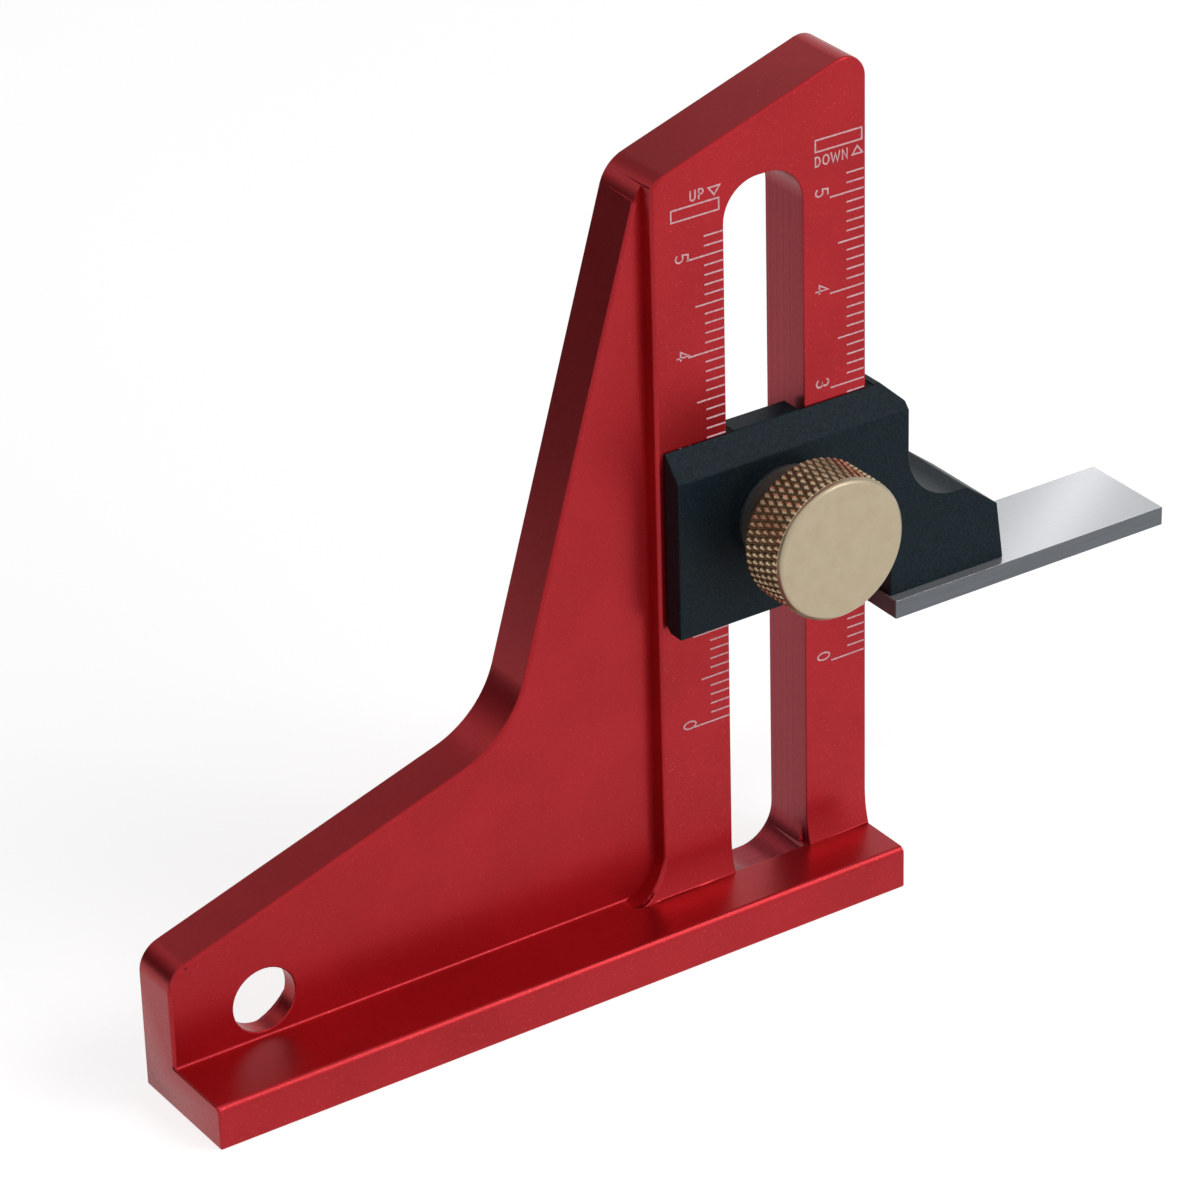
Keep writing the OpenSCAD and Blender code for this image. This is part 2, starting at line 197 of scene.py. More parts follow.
def make_black_anodised():
    """Bead-blasted aluminium, dyed black and anodised: blue-black, matt, with a faint sparkle."""
    made, tree, place = new_material("black_bead_blasted_anodised_aluminium")
    # The blasted grain is about 0.05 mm and is drawn at 0.25 mm, so that it shows
    grain = add(tree, "ShaderNodeTexNoise", {"Vector": place, "Scale": per_metre(0.25), "Detail": 3.0,
                                             "Roughness": 0.65})
    colour = add(tree, "ShaderNodeValToRGB", {"Fac": grain.outputs["Fac"]})
    colour.color_ramp.elements[0].position = 0.35
    colour.color_ramp.elements[0].color = linear("#0A151A")
    colour.color_ramp.elements[1].position = 0.75
    colour.color_ramp.elements[1].color = linear("#1B2A32")
    rough = add(tree, "ShaderNodeMapRange", {"Value": grain.outputs["Fac"], "From Min": 0.3,
                                             "From Max": 0.7, "To Min": 0.52, "To Max": 0.42})
    bump = add(tree, "ShaderNodeBump", {"Height": grain.outputs["Fac"], "Strength": 0.3,
                                        "Distance": 0.02 * MM})
    skin = add(tree, "ShaderNodeBsdfPrincipled", {
        "Base Color": colour.outputs["Color"], "Roughness": rough.outputs["Result"], "Metallic": 0.1,
        "Specular IOR Level": 0.12, "Normal": bump.outputs["Normal"]})
    add(tree, "ShaderNodeOutputMaterial", {"Surface": skin.outputs["BSDF"]})
    return made


def make_ground_steel(name, low, high, roughness, metallic, relief):
    """Ground or milled tool steel: fine straight lines along the blade."""
    made, tree, place = new_material(name)
    # Grinding lines are about 0.02 mm apart and are drawn at 0.12 mm, so that they show
    stretched = add(tree, "ShaderNodeMapping", {"Vector": place, "Scale": (0.02, 1.0, 1.0)})
    lines = add(tree, "ShaderNodeTexNoise", {"Vector": stretched.outputs["Vector"],
                                             "Scale": per_metre(0.12), "Detail": 3.0})
    colour = add(tree, "ShaderNodeValToRGB", {"Fac": lines.outputs["Fac"]})
    colour.color_ramp.elements[0].position = 0.3
    colour.color_ramp.elements[0].color = linear(low)
    colour.color_ramp.elements[1].position = 0.7
    colour.color_ramp.elements[1].color = linear(high)
    rough = add(tree, "ShaderNodeMapRange", {"Value": lines.outputs["Fac"], "From Min": 0.3,
                                             "From Max": 0.7, "To Min": roughness - 0.02,
                                             "To Max": roughness + 0.02})
    bump = add(tree, "ShaderNodeBump", {"Height": lines.outputs["Fac"], "Strength": relief,
                                        "Distance": 0.01 * MM})
    skin = add(tree, "ShaderNodeBsdfPrincipled", {
        "Base Color": colour.outputs["Color"], "Roughness": rough.outputs["Result"], "Metallic": metallic,
        "Normal": bump.outputs["Normal"]})
    add(tree, "ShaderNodeOutputMaterial", {"Surface": skin.outputs["BSDF"]})
    return made


def make_turned_brass(name, low, high, roughness):
    """Turned brass, lightly dulled: fine rings round the knob's axis and a soft mottle."""
    made, tree, place = new_material(name)
    split = add(tree, "ShaderNodeSeparateXYZ", {"Vector": place})
    dx = add(tree, "ShaderNodeMath", {0: split.outputs["X"], 1: KNOB_X}, operation="SUBTRACT")
    dz = add(tree, "ShaderNodeMath", {0: split.outputs["Z"], 1: KNOB_Z}, operation="SUBTRACT")
    flat = add(tree, "ShaderNodeCombineXYZ", {"X": dx.outputs["Value"], "Y": dz.outputs["Value"]})
    radius = add(tree, "ShaderNodeVectorMath", {0: flat.outputs["Vector"]}, operation="LENGTH")
    ring = add(tree, "ShaderNodeCombineXYZ", {"X": radius.outputs["Value"]})
    # Turning rings are about 0.05 mm apart and are drawn at 0.16 mm, so that they show
    rings = add(tree, "ShaderNodeTexNoise", {"Vector": ring.outputs["Vector"], "Scale": per_metre(0.16),
                                             "Detail": 2.0})
    cloud = add(tree, "ShaderNodeTexNoise", {"Vector": place, "Scale": per_metre(1.6), "Detail": 3.0})
    blend = add(tree, "ShaderNodeMix", {"Factor": 0.6, "A": rings.outputs["Fac"],
                                        "B": cloud.outputs["Fac"]})
    colour = add(tree, "ShaderNodeValToRGB", {"Fac": blend.outputs["Result"]})
    colour.color_ramp.elements[0].position = 0.35
    colour.color_ramp.elements[0].color = linear(low)
    colour.color_ramp.elements[1].position = 0.65
    colour.color_ramp.elements[1].color = linear(high)
    bump = add(tree, "ShaderNodeBump", {"Height": rings.outputs["Fac"], "Strength": 0.15,
                                        "Distance": 0.01 * MM})
    skin = add(tree, "ShaderNodeBsdfPrincipled", {
        "Base Color": colour.outputs["Color"], "Roughness": roughness, "Metallic": 0.85,
        "Normal": bump.outputs["Normal"]})
    add(tree, "ShaderNodeOutputMaterial", {"Surface": skin.outputs["BSDF"]})
    return made


def make_plated_steel(name, low, high, roughness):
    """Zinc-plated steel: grey, with a faintly spangled plating."""
    made, tree, place = new_material(name)
    spangle = add(tree, "ShaderNodeTexVoronoi", {"Vector": place, "Scale": per_metre(0.5)})
    grain = add(tree, "ShaderNodeTexNoise", {"Vector": place, "Scale": per_metre(0.2), "Detail": 3.0})
    blend = add(tree, "ShaderNodeMix", {"Factor": 0.5, "A": spangle.outputs["Distance"],
                                        "B": grain.outputs["Fac"]})
    colour = add(tree, "ShaderNodeValToRGB", {"Fac": blend.outputs["Result"]})
    colour.color_ramp.elements[0].position = 0.3
    colour.color_ramp.elements[0].color = linear(low)
    colour.color_ramp.elements[1].position = 0.7
    colour.color_ramp.elements[1].color = linear(high)
    bump = add(tree, "ShaderNodeBump", {"Height": grain.outputs["Fac"], "Strength": 0.15,
                                        "Distance": 0.01 * MM})
    skin = add(tree, "ShaderNodeBsdfPrincipled", {
        "Base Color": colour.outputs["Color"], "Roughness": roughness, "Metallic": 1.0,
        "Normal": bump.outputs["Normal"]})
    add(tree, "ShaderNodeOutputMaterial", {"Surface": skin.outputs["BSDF"]})
    return made


def make_etched_mark():
    """Laser-etched anodising: the dye is burnt out to a chalky pink white that is a little uneven."""
    made, tree, place = new_material("laser_etched_anodising")
    grain = add(tree, "ShaderNodeTexNoise", {"Vector": place, "Scale": per_metre(0.3), "Detail": 2.0})
    colour = add(tree, "ShaderNodeValToRGB", {"Fac": grain.outputs["Fac"]})
    colour.color_ramp.elements[0].position = 0.35
    colour.color_ramp.elements[0].color = linear("#D69EA6")
    colour.color_ramp.elements[1].position = 0.65
    colour.color_ramp.elements[1].color = linear("#E8C4C8")
    skin = add(tree, "ShaderNodeBsdfPrincipled", {"Base Color": colour.outputs["Color"], "Roughness": 0.7})
    add(tree, "ShaderNodeOutputMaterial", {"Surface": skin.outputs["BSDF"]})
    return made


RED = make_red_anodised()
SLOT_WALL = make_slot_wall()
BLACK = make_black_anodised()
STEEL = make_ground_steel("surface_ground_tool_steel", "#C8CACE", "#CED0D3", 0.22, 0.6, 0.03)
# The blade's narrow sides get a darker steel than its top: painted shade, besides their rougher milled
# finish
STEEL_SIDE_SHADED = make_ground_steel("milled_tool_steel_side_painted_shade", "#5F6369", "#6D7178", 0.42, 0.15, 0.1)
KNOB_FACE = make_turned_brass("turned_dull_brass", "#B5A68B", "#BDAF95", 0.42)
# The knurl's points get a lighter brass and its grooves a darker one: painted highlight and painted shade
KNURL_BAND_HIGHLIGHT = make_turned_brass("knurled_brass_painted_highlight", "#B39C78", "#D8C8A6", 0.30)
KNURL_GROOVE_SHADE = make_turned_brass("knurl_groove_painted_shade_brass", "#54452F", "#74634A", 0.45)
KNOB_SHOULDER = make_turned_brass("turned_bright_brass", "#B0A698", "#CFC6BA", 0.36)
ZINC = make_plated_steel("zinc_plated_steel", "#9DA1A5", "#B9BDC1", 0.30)
NUT_STEEL = make_plated_steel("dull_zinc_plated_steel", "#7F858A", "#9BA1A6", 0.38)
SPRING = make_plated_steel("phosphated_spring_steel", "#3F4246", "#5A5E63", 0.45)
MARK = make_etched_mark()


def add_piece(name, mesh, body, materials):
    """Puts a mesh into the scene as a piece that rides on a body."""
    for material in materials:
        mesh.materials.append(material)
    made = bpy.data.objects.new(name, mesh)
    bpy.context.scene.collection.objects.link(made)
    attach(made, body)
    return made


# Machined pieces, whose edges are broken as on the real ones
def machined(name, node, width_of, body, slot, *materials, second=None, weld=WELD):
    """A copy of a solid whose corners are rounded by width_of(middle of the edge, direction).

    The second material is for the faces where second(face) holds.
    """
    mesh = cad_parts[node].data.copy()
    mesh.name = name
    mesh.materials.clear()
    bm = bmesh.new()
    bm.from_mesh(mesh)
    bmesh.ops.remove_doubles(bm, verts=bm.verts, dist=weld)
    bmesh.ops.dissolve_limit(bm, angle_limit=FLAT, verts=bm.verts, edges=bm.edges)
    bm.normal_update()
    weight = bm.edges.layers.float.new("bevel_weight_edge")
    for edge in bm.edges:
        if len(edge.link_faces) != 2 or edge.calc_face_angle(0) < SHARP:
            edge.smooth = True
            continue
        edge.smooth = False
        if edge.is_convex:
            middle = (edge.verts[0].co + edge.verts[1].co) / 2
            along = (edge.verts[1].co - edge.verts[0].co).normalized()
            edge[weight] = min(1.0, width_of(middle, along) / EDGE_MAX)
            edge.smooth = edge[weight] > 0
    for face in bm.faces:
        face.smooth = True
        face.material_index = 1 if second and second(face) else 0
    bm.to_mesh(mesh)
    bm.free()
    made = add_piece(name, mesh, body, materials)
    bevel = made.modifiers.new("broken_edges", "BEVEL")
    bevel.limit_method = "WEIGHT"
    bevel.width = EDGE_MAX
    bevel.segments = EDGE_STEPS
    bevel.use_clamp_overlap = False
    bevel.miter_outer = "MITER_SHARP"
    shading = made.modifiers.new("flat_faces", "WEIGHTED_NORMAL")
    shading.keep_sharp = True
    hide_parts(node)


def in_slot(point):
    """Whether a point of the stand lies on the slot's walls."""
    return (SLOT_X[0] - NEAR < point.x < SLOT_X[1] + NEAR
            and SLOT_Z[0] - NEAR < point.z < SLOT_Z[1] + NEAR
            and SLOT_FRONT_Y < point.y < STAND_BACK_Y + NEAR)


def stand_edge(middle, along):
    """Width of the rounding along an edge of the stand."""
    # The web is too narrow for a rounding beside the column's upper corner, whose side runs out there
    between_faces = COLUMN_FACE_Y + NEAR < middle.y < STAND_BACK_Y - NEAR
    if middle.z > CORNER_Z and middle.x < COLUMN_X + CLOSE and between_faces:
        return 0.0
    # The back's edges stay sharp, because its relief and its channel come close to them
    if middle.y > STAND_BACK_Y - CLOSE:
        return 0.0
    if in_slot(middle):
        return SLOT_EDGE
    if math.hypot(middle.x - HOLE_X, middle.z - HOLE_Z) < HOLE_R + 2 * NEAR:
        return SIDE_EDGE
    if middle.z < FOOT_T + CLOSE:
        return FOOT_EDGE
    # The column's right side is nearly sharp, and its upper corner goes over to the wide edge
    if middle.x > SLOT_X[1]:
        upright = max(0.0, (abs(along.z) - UPRIGHT_FROM) / (1 - UPRIGHT_FROM))
        return OUTLINE_EDGE + (SIDE_EDGE - OUTLINE_EDGE) * upright
    return OUTLINE_EDGE


def even(width):
    """The same width of rounding for every edge of a piece."""
    return lambda middle, along: width


def slot_face(face):
    """Whether a face of the stand is a wall of the slot."""
    return abs(face.normal.y) < WALL_TILT and in_slot(face.calc_center_median())


def side_face(face):
    """Whether a face of the blade is one of its narrow sides, which get the darker steel of painted shade.
    """
    return abs(face.normal.z) < SIDE_TILT


machined("stand_body", "stand", stand_edge, "frame", "red_anodised", RED, SLOT_WALL,
         second=slot_face, weld=STAND_WELD)
machined("slider_body", "slider", even(SLIDER_EDGE), "slide", "black_anodised", BLACK)
machined("ground_blade", "feeler_blade", even(BLADE_EDGE), "slide", "blade_steel", STEEL, STEEL_SIDE_SHADED,
         second=side_face)
machined("blade_screws", "feeler_screws", even(BLADE_EDGE / 2), "slide", "hardware_steel", ZINC)
machined("channel_nut", "clamp_nut", even(2 * HARDWARE_EDGE), "nut", "hardware_steel", NUT_STEEL)
machined("turned_washer", "knob_washer", even(HARDWARE_EDGE), "slide", "hardware_steel", ZINC)
machined("snap_ring", "stud_ring", even(HARDWARE_EDGE / 2), "thumbscrew", "hardware_steel", SPRING)


def finish_mesh(name, bm, body, materials):
    """Turns a new bmesh into a piece that rides on a body."""
    mesh = bpy.data.meshes.new(name)
    bm.to_mesh(mesh)
    bm.free()
    return add_piece(name, mesh, body, materials)


# Turned pieces on the knob's axis
def turned(name, rows, body, materials, sides, flat_rows=(), groove=None):
    """A solid of revolution. rows are (y, radius function of the turn, material index) from the front.

    Faces that start at one of flat_rows are shaded flat. Where groove is given, the last material is
    for the faces where groove(turn, y) holds; on the knob it is the darker brass of painted shade in
    the knurl's grooves.
    """
    bm = bmesh.new()
    loops = []
    for y, radius_at, _ in rows:
        loop = []
        for i in range(sides):
            turn = 2 * math.pi * i / sides
            radius = radius_at(turn)
            place = (KNOB_X + radius * math.sin(turn), y, KNOB_Z + radius * math.cos(turn))
            loop.append(bm.verts.new(place))
        loops.append(loop)
    for j in range(len(rows) - 1):
        middle_y = (rows[j][0] + rows[j + 1][0]) / 2
        for i in range(sides):
            k = (i + 1) % sides
            face = bm.faces.new((loops[j][i], loops[j][k], loops[j + 1][k], loops[j + 1][i]))
            face.material_index = rows[j][2]
            if groove and groove(2 * math.pi * (i + 0.5) / sides, middle_y):
                face.material_index = len(materials) - 1
            face.smooth = j not in flat_rows
    bm.faces.new(loops[0][::-1]).material_index = rows[0][2]
    bm.faces.new(loops[-1]).material_index = rows[-1][2]
    bmesh.ops.recalc_face_normals(bm, faces=bm.faces)
    return finish_mesh(name, bm, body, materials)


def round_row(y, radius, material):
    """A row of a turned piece that is a plain circle."""
    return (y, lambda turn: radius, material)


# Sizes of the knob
RIM_L = 0.5 * MM
RIM_IN = 0.5 * MM
FACE_BREAK = 0.08 * MM
BAND_BREAK = 0.06 * MM
BREAK_L = 0.03 * MM
SHOULDER_Y = -3.6 * MM
SHOULDER_R = 5.3 * MM
KNURL_START_Y = KNOB_LOW.y + RIM_L
KNURL_END_Y = -6.9 * MM
KNURL_DEPTH = 0.26 * MM
KNURL_STARTS = 58
KNURL_LENGTH = 2.1 * MM
KNURL_STEPS = 8
KNURL_CHAMFER = 0.25 * MM
# Share of its full height at which a point of the knurl is cut flat
KNURL_FLAT = 0.85
# Height on the knurl, from 0 to 1, below which a face counts as part of a groove and gets the darker brass
# of painted shade
SHADED_GROOVE_TOP = 0.38

# Profile behind the knurl, as (y, radius): its end, the tapered shoulder and the shoulder's edge
KNOB_BACK = (
    (KNURL_END_Y, KNOB_R - KNURL_DEPTH),
    (KNURL_END_Y + 0.12 * MM, KNOB_R - KNURL_DEPTH - 0.3 * MM),
    (KNURL_END_Y + 0.5 * MM, SHOULDER_R + 0.55 * MM),
    (SHOULDER_Y - 0.5 * MM, SHOULDER_R + 0.15 * MM),
    (SHOULDER_Y - 0.12 * MM, SHOULDER_R),
    (SHOULDER_Y, SHOULDER_R - 0.12 * MM))


def knurl_height(turn, y):
    """Height of the diamond knurl, from 0 in a groove to 1 on a point."""
    one = KNURL_STARTS * turn / (2 * math.pi) + y / KNURL_LENGTH
    two = KNURL_STARTS * turn / (2 * math.pi) - y / KNURL_LENGTH
    slopes = [1 - abs(2 * (phase % 1.0) - 1) for phase in (one, two)]
    return min(KNURL_FLAT, *slopes) / KNURL_FLAT


def knurl_radius(y):
    """Radius of the knurled band at y, as a function of the turn. Its two ends are chamfered."""
    reach = min(y - KNURL_START_Y, KNURL_END_Y - y)
    limit = KNOB_R - KNURL_DEPTH * max(0.0, 1 - reach / KNURL_CHAMFER)
    return lambda turn: min(limit, KNOB_R - KNURL_DEPTH * (1 - knurl_height(turn, y)))


def in_shaded_groove(turn, y):
    """Whether a place on the knob lies in a groove of the knurl, behind its front chamfer, where the darker
    brass of painted shade goes.
    """
    return KNURL_START_Y + KNURL_CHAMFER < y < KNURL_END_Y and knurl_height(turn, y) < SHADED_GROOVE_TOP


def make_knob():
    """Knob with a turned face, a bevelled rim, a diamond knurl and a tapered shoulder. The knurl's points
    have a lighter brass and its grooves a darker one, as painted highlight and painted shade.
    """
    rows = [round_row(KNOB_LOW.y, KNOB_R - RIM_IN - FACE_BREAK, 0),
            round_row(KNOB_LOW.y + BREAK_L, KNOB_R - RIM_IN, 0),
            round_row(KNURL_START_Y - BREAK_L, KNOB_R - BAND_BREAK, 1)]
    step = KNURL_LENGTH / KNURL_STEPS / 2
    count = int((KNURL_END_Y - KNURL_START_Y) / step)
    flat_rows = range(len(rows), len(rows) + count + 1)
    for j in range(count + 1):
        y = KNURL_START_Y + j * step
        rows.append((y, knurl_radius(y), 1))
    rows += [round_row(y, radius, 2) for y, radius in KNOB_BACK]
    return turned("knurled_knob", rows, "thumbscrew",
                  [KNOB_FACE, KNURL_BAND_HIGHLIGHT, KNOB_SHOULDER, KNURL_GROOVE_SHADE], KNURL_STARTS * KNURL_STEPS,
                  flat_rows, in_shaded_groove)


knob = make_knob()
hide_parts("knob")

# Sizes of the stud
STUD_R = (STUD_HIGH.x - STUD_LOW.x) / 2
STUD_START_Y = SHOULDER_Y - 0.02 * MM
STUD_CHAMFER = 0.5 * MM
STUD_SIDES = 36
THREAD_END_Y = RING_LOW.y - 0.25 * MM
THREAD_PITCH = 0.8 * MM
THREAD_DEPTH = 0.42 * MM
THREAD_STEPS = 8
GROOVE_DEPTH = 0.6 * MM
# Height that the thread's flanks would reach if its crest weren't flat, as a share of its depth
THREAD_PEAK = 1.25

# Profile behind the thread, as (y, radius): a collar, the ring's groove and the chamfered tail
STUD_TAIL = (
    (THREAD_END_Y, STUD_R - THREAD_DEPTH),
    (THREAD_END_Y + 0.02 * MM, STUD_R - 0.06 * MM),
    (RING_LOW.y, STUD_R),
    (RING_LOW.y, STUD_R - GROOVE_DEPTH),
    (RING_HIGH.y, STUD_R - GROOVE_DEPTH),
    (RING_HIGH.y, STUD_R),
    (STUD_HIGH.y - STUD_CHAMFER, STUD_R),
    (STUD_HIGH.y, STUD_R - STUD_CHAMFER))


def thread_radius(y):
    """Radius of the thread at y, as a function of the turn. It fades out over a pitch at both ends."""
    fade = max(0.0, min(1.0, (y - STUD_START_Y) / THREAD_PITCH, (THREAD_END_Y - y) / THREAD_PITCH))

    def radius(turn):
        flank = 1 - abs(2 * ((y / THREAD_PITCH - turn / (2 * math.pi)) % 1.0) - 1)
        return STUD_R - THREAD_DEPTH * (1 - fade * min(1.0, THREAD_PEAK * flank))

    return radius


def make_stud():
    """Stud with a rolled thread, the groove for its ring and a chamfered tail."""
    rows = [round_row(STUD_START_Y, STUD_R - THREAD_DEPTH, 0)]
    count = int((THREAD_END_Y - STUD_START_Y) / THREAD_PITCH * THREAD_STEPS)
    for j in range(1, count):
        y = STUD_START_Y + j * THREAD_PITCH / THREAD_STEPS
        rows.append((y, thread_radius(y), 0))
    rows += [round_row(y, radius, 0) for y, radius in STUD_TAIL]
    return turned("threaded_stud", rows, "thumbscrew", [ZINC], STUD_SIDES,
                  range(count - 1, len(rows)))


stud = make_stud()
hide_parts("clamp_stud")

# Sizes and places of the scales
MARK_T = 0.02 * MM
MARK_SINK = 0.03 * MM
STROKE = 0.17 * MM
LAST_TICK = 52
DIGIT_W = 0.98 * MM
DIGIT_H = 1.56 * MM
WORD_H = 1.05 * MM
# Zero of each scale, then the outer end of its marks and the inner ends of its ones, fives and tens
UP_ZERO = 22.5 * MM
UP_ENDS = (23.12 * MM, (21.06 * MM, 20.01 * MM, 19.08 * MM))
DOWN_ZERO = 24.5 * MM
DOWN_ENDS = (39.42 * MM, (37.49 * MM, 36.47 * MM, 35.55 * MM))
# Height of the box that a figure or letter is drawn in, which is 1 wide
GLYPH_H = 1.6
# Share of a stroke's width by which it reaches past its open ends
STROKE_END = 0.3
# Least cosine that a stroke's half width is divided by at a bend, so that a sharp bend stays short
MITRE_LEAST = 0.45


def arc(cx, cy, rx, ry, start, end, steps=12):
    """Points on part of an ellipse, with its angles in degrees."""
    return [(cx + rx * math.cos(math.radians(start + (end - start) * i / steps)),
             cy + ry * math.sin(math.radians(start + (end - start) * i / steps))) for i in range(steps + 1)]


# Strokes of the figures and letters in a box 1 wide and 1.6 high, with True for a closed stroke
GLYPHS = {
    "0": [(arc(0.5, 0.8, 0.40, 0.72, 0, 345, 23), True)],
    "1": [([(0.22, 1.22), (0.56, 1.5), (0.56, 0.08)], False)],
    "2": [(arc(0.5, 1.10, 0.38, 0.42, 165, -35) + [(0.10, 0.08), (0.92, 0.08)], False)],
    "3": [(arc(0.46, 1.15, 0.36, 0.37, 150, -90) + arc(0.46, 0.45, 0.42, 0.37, 90, -150)[1:], False)],
    "4": [([(0.70, 0.06), (0.70, 1.50), (0.08, 0.48), (0.96, 0.48)], False)],
    "5": [([(0.84, 1.52), (0.24, 1.52), (0.16, 0.88)] + arc(0.46, 0.50, 0.40, 0.42, 115, -145)[1:], False)],
    "U": [([(0.08, 1.55), (0.08, 0.5)] + arc(0.5, 0.48, 0.42, 0.42, 180, 360) + [(0.92, 1.55)], False)],
    "P": [([(0.10, 0.05), (0.10, 1.52), (0.5, 1.52)] + arc(0.5, 1.14, 0.40, 0.38, 90, -90)[1:]
           + [(0.12, 0.76)], False)],
    "D": [([(0.10, 0.08), (0.10, 1.52), (0.42, 1.52)] + arc(0.42, 0.80, 0.50, 0.72, 90, -90)[1:], True)],
    "O": [(arc(0.5, 0.8, 0.43, 0.73, 0, 345, 23), True)],
    "W": [([(0.04, 1.55), (0.27, 0.08), (0.5, 1.30), (0.73, 0.08), (0.96, 1.55)], False)],
    "N": [([(0.10, 0.05), (0.10, 1.55), (0.90, 0.05), (0.90, 1.55)], False)],
}


def ribbon(bm, points, width, closed):
    """A thin raised stroke on the column's face through points (x, z)."""
    count = len(points)
    sides = []
    for i, point in enumerate(points):
        here = Vector(point)
        before = Vector(points[i - 1]) if closed or i > 0 else None
        after = Vector(points[(i + 1) % count]) if closed or i < count - 1 else None
        ways = [(b - a).normalized() for a, b in ((before, here), (here, after)) if a and b]
        normals = [Vector((-way.y, way.x)) for way in ways]
        mitre = sum(normals, Vector((0, 0))).normalized()
        reach = width / 2 / max(MITRE_LEAST, mitre.dot(normals[0]))
        end = Vector((0, 0))
        if before is None:
            end = -ways[0] * width * STROKE_END
        if after is None:
            end = ways[0] * width * STROKE_END
        sides.append((here + end + mitre * reach, here + end - mitre * reach))
    rings = []
    for left, right in sides:
        rings.append([bm.verts.new((p.x, COLUMN_FACE_Y + y, p.y)) for y, p in
                      ((-MARK_T, left), (-MARK_T, right), (MARK_SINK, right), (MARK_SINK, left))])
    for i in range(count if closed else count - 1):
        one, two = rings[i], rings[(i + 1) % count]
        for k in range(4):
            bm.faces.new((one[k], one[(k + 1) % 4], two[(k + 1) % 4], two[k]))
    if not closed:
        bm.faces.new(rings[0][::-1])
        bm.faces.new(rings[-1])


def draw_glyph(bm, glyph, corner, right, up, width, height):
    """Draws a figure or letter from its lower left corner (x, z), with its own right and up."""
    for points, closed in GLYPHS[glyph]:
        placed = [(corner[0] + right[0] * u * width + up[0] * v / GLYPH_H * height,
                   corner[1] + right[1] * u * width + up[1] * v / GLYPH_H * height) for u, v in points]
        ribbon(bm, placed, STROKE, closed)


def draw_ticks(bm, zero, ends, digit):
    """Draws the millimetre marks of a scale, with a lying figure at each ten.

    digit is the figures' x, and their height above their mark.
    """
    outer, (ones, fives, tens) = ends
    for tick in range(LAST_TICK + 1):
        z = zero + tick * MM
        start = tens if tick % 10 == 0 else fives if tick % 5 == 0 else ones
        ribbon(bm, [(start, z), (outer, z)], STROKE, False)
        if tick % 10 == 0:
            corner = (digit[0], z + digit[1])
            draw_glyph(bm, str(tick // 10), corner, (0, -1), (1, 0), DIGIT_W, DIGIT_H)


def make_scale(name, zero, ends, digit, box, word, word_z, arrow):
    """A scale with its empty box, its word and its arrow.

    box is (left, right, low, high), word has (letter, left side, right side) and arrow has corners (x, z).
    """
    bm = bmesh.new()
    draw_ticks(bm, zero, ends, digit)
    left, right, low, high = box
    ribbon(bm, [(left, low), (right, low), (right, high), (left, high)], STROKE, True)
    for letter, x0, x1 in word:
        draw_glyph(bm, letter, (x0, word_z), (1, 0), (0, 1), x1 - x0, WORD_H)
    ribbon(bm, arrow, STROKE, True)
    bmesh.ops.recalc_face_normals(bm, faces=bm.faces)
    return finish_mesh(name, bm, "frame", [MARK])


# Left scale, which reads the height of the blade's top
make_scale("up_scale_marks", UP_ZERO, UP_ENDS, digit=(17.71 * MM, 0.87 * MM),
           box=(17.35 * MM, 22.75 * MM, 76.78 * MM, 77.98 * MM),
           word=(("U", 19.51 * MM, 20.15 * MM), ("P", 20.46 * MM, 21.06 * MM)), word_z=78.4 * MM,
           arrow=((21.6 * MM, 79.24 * MM), (22.88 * MM, 79.24 * MM), (22.24 * MM, 78.42 * MM)))

# Right scale, which reads the height of the blade's underside
make_scale("down_scale_marks", DOWN_ZERO, DOWN_ENDS, digit=(33.78 * MM, 1.23 * MM),
           box=(33.83 * MM, 39.23 * MM, 79.54 * MM, 80.74 * MM),
           word=(("D", 33.77 * MM, 34.42 * MM), ("O", 34.67 * MM, 35.44 * MM),
                 ("W", 35.6 * MM, 36.7 * MM), ("N", 36.92 * MM, 37.58 * MM)), word_z=78.0 * MM,
           arrow=((38.12 * MM, 78.17 * MM), (39.3 * MM, 78.17 * MM), (38.7 * MM, 78.97 * MM)))


# Floor, world and lamps, in metres
FLOOR_HALF = 3.0
FLOOR_DROP = 0.05 * MM
# Point in the gauge that the lamps face
MIDDLE = (0.01, 0.0, 0.045)


def shown_rays(tree):
    """1 for rays that show a surface, seen by the camera, in a reflection or through glass, or else 0."""
    rays = add(tree, "ShaderNodeLightPath")
    seen = add(tree, "ShaderNodeMath", {0: rays.outputs["Is Camera Ray"], 1: rays.outputs["Is Glossy Ray"]},
               operation="MAXIMUM")
    shown = add(tree, "ShaderNodeMath", {0: seen.outputs["Value"], 1: rays.outputs["Is Transmission Ray"]},
                operation="MAXIMUM")
    return shown.outputs["Value"]


def make_floor():
    """White floor that keeps a soft shadow, with its far parts white to the camera."""
    mesh = bpy.data.meshes.new("floor")
    corners = [(-FLOOR_HALF, -FLOOR_HALF, 0), (FLOOR_HALF, -FLOOR_HALF, 0),
               (FLOOR_HALF, FLOOR_HALF, 0), (-FLOOR_HALF, FLOOR_HALF, 0)]
    mesh.from_pydata(corners, [], [(0, 1, 2, 3)])
    made = bpy.data.objects.new("floor", mesh)
    made.location.z = -FLOOR_DROP
    bpy.context.scene.collection.objects.link(made)
    material, tree = bare_material("white_studio_floor")
    paint = add(tree, "ShaderNodeBsdfDiffuse", {"Color": linear("#C6C6C4")})
    glow = add(tree, "ShaderNodeEmission", {"Color": linear("#FFFFFF"), "Strength": 0.82})
    both = add(tree, "ShaderNodeAddShader", {0: paint.outputs["BSDF"], 1: glow.outputs["Emission"]})
    mix = add(tree, "ShaderNodeMixShader", {0: shown_rays(tree), 1: paint.outputs["BSDF"],
                                            2: both.outputs["Shader"]})
    add(tree, "ShaderNodeOutputMaterial", {"Surface": mix.outputs["Shader"]})
    mesh.materials.append(material)


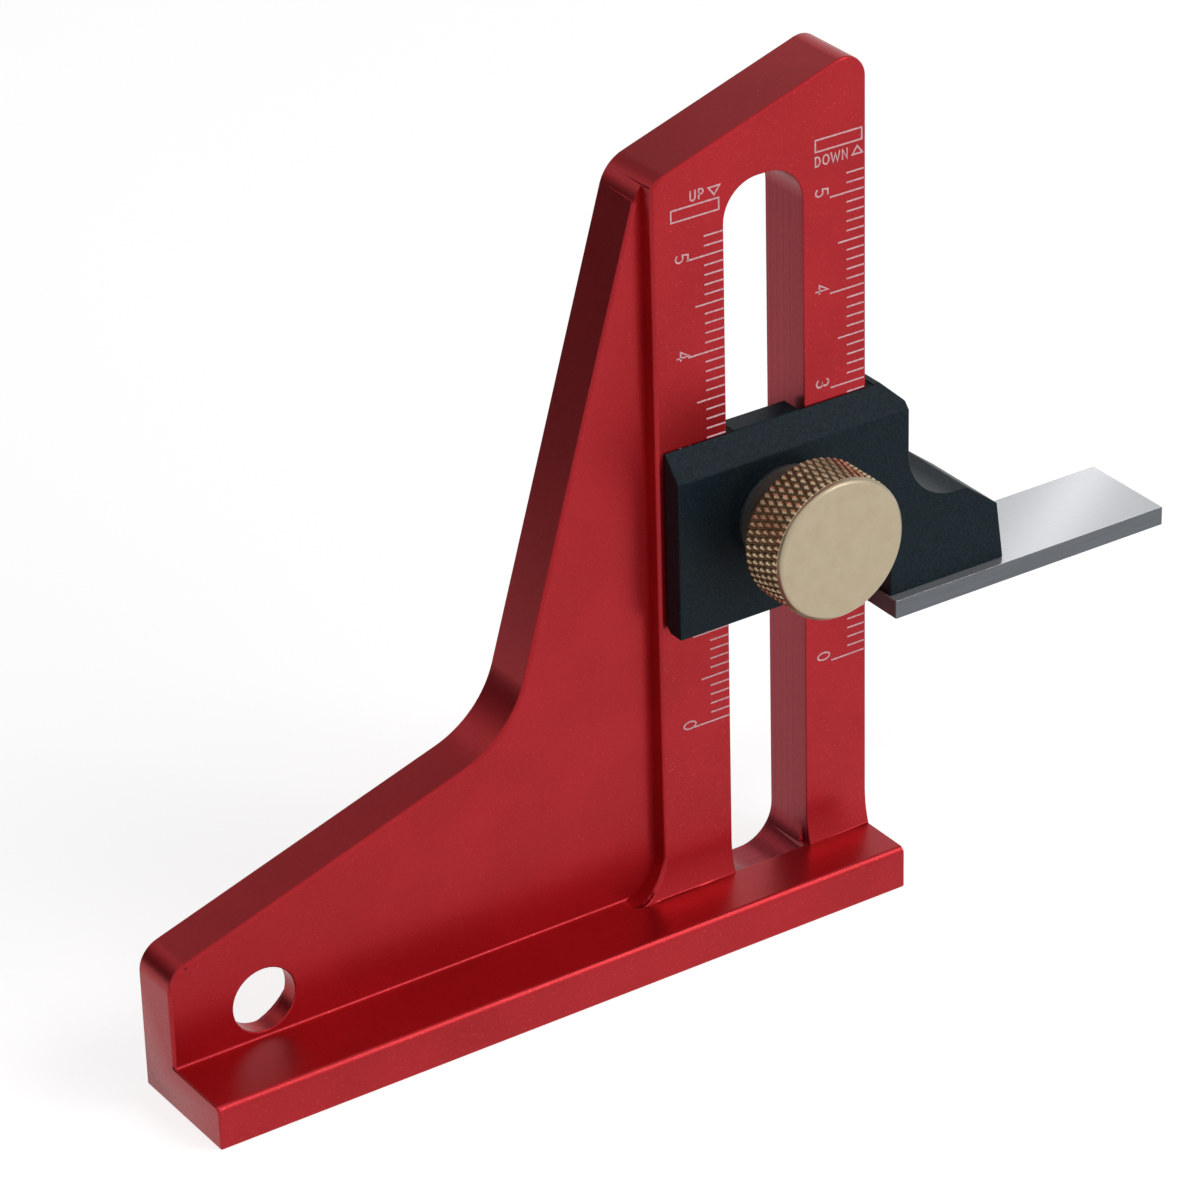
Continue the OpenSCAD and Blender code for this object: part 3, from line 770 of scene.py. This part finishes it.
def make_world():
    """Pale world that is white behind the object and in its reflections."""
    world = bpy.data.worlds.new("studio")
    bpy.context.scene.world = world
    world.use_nodes = True
    tree = world.node_tree
    tree.nodes.clear()
    plain = add(tree, "ShaderNodeBackground", {"Color": linear("#FFFFFF"), "Strength": 0.15})
    white = add(tree, "ShaderNodeBackground", {"Color": linear("#FFFFFF"), "Strength": 1.0})
    mix = add(tree, "ShaderNodeMixShader", {0: shown_rays(tree), 1: plain.outputs["Background"],
                                            2: white.outputs["Background"]})
    add(tree, "ShaderNodeOutputWorld", {"Surface": mix.outputs["Shader"]})


def add_card(name, corners, y, shade):
    """Adds an upright glowing studio card with four corners (x, z) that only reflections show: a painted
    reflection, dark or bright by its shade.
    """
    mesh = bpy.data.meshes.new(name)
    mesh.from_pydata([(x, y, z) for x, z in corners], [], [(0, 1, 2, 3)])
    material, tree = bare_material(name)
    glow = add(tree, "ShaderNodeEmission", {"Color": linear("#FFFFFF"), "Strength": shade})
    add(tree, "ShaderNodeOutputMaterial", {"Surface": glow.outputs["Emission"]})
    mesh.materials.append(material)
    made = bpy.data.objects.new(name, mesh)
    made.visible_camera = False
    made.visible_diffuse = False
    made.visible_shadow = False
    made.visible_transmission = False
    bpy.context.scene.collection.objects.link(made)


def add_lamp(name, place, size, power, glossy=True):
    """Adds a square soft lamp that faces the gauge's middle. glossy is whether reflections show it."""
    lamp = bpy.data.lights.new(name, "AREA")
    lamp.size = size
    lamp.energy = power
    made = bpy.data.objects.new(name, lamp)
    made.visible_glossy = glossy
    made.location = place
    made.rotation_euler = (Vector(MIDDLE) - Vector(place)).to_track_quat("-Z", "Y").to_euler()
    bpy.context.scene.collection.objects.link(made)


make_floor()
make_world()
add_lamp("front_softbox", place=(0.25, -0.75, 0.12), size=0.5, power=4.2, glossy=False)
add_lamp("upper_softbox", place=(0.40, -0.40, 0.63), size=0.3, power=1.3)
# A dark card behind the gauge's left, and a grey one behind and above it, which put painted shade into the
# reflections of the faces turned left and up
add_card("dark_card_left", corners=((-0.45, 0.0), (-0.06, 0.0), (-0.06, 0.14), (-0.45, 0.14)),
         y=0.18, shade=0.04)
add_card("grey_card_back", corners=((-0.06, 0.13), (0.09, 0.13), (0.09, 0.50), (-0.06, 0.50)),
         y=0.20, shade=0.35)
# This slanted glowing card makes the bright band across the blade, a painted reflection
add_card("bright_card_right", corners=((0.111, 0.052), (0.119, 0.052), (0.098, 0.076), (0.090, 0.076)),
         y=0.05, shade=2.4)

# Camera at the photograph's angle, with its lens and sensor in millimetres
CAMERA_AZIMUTH = math.radians(33.1617)
CAMERA_ELEVATION = math.radians(28.6664)
CAMERA_ROLL = math.radians(1.5548)
CAMERA_PLACE = (-0.233747, -0.370910, 0.282090)
CAMERA_LENS = 159.54
CAMERA_SENSOR = 36.0


def make_camera():
    """Camera that looks back along the direction given by its azimuth and elevation."""
    lens = bpy.data.cameras.new("camera")
    lens.lens = CAMERA_LENS
    lens.sensor_width = CAMERA_SENSOR
    lens.clip_start = 0.01
    made = bpy.data.objects.new("camera", lens)
    level = math.cos(CAMERA_ELEVATION)
    back = Vector((-math.sin(CAMERA_AZIMUTH) * level, -math.cos(CAMERA_AZIMUTH) * level,
                   math.sin(CAMERA_ELEVATION)))
    turn = back.to_track_quat("Z", "Y").to_matrix() @ Matrix.Rotation(-CAMERA_ROLL, 3, "Z")
    made.matrix_world = Matrix.Translation(CAMERA_PLACE) @ turn.to_4x4()
    bpy.context.scene.collection.objects.link(made)
    bpy.context.scene.camera = made


make_camera()
bpy.context.scene.view_settings.view_transform = "Standard"
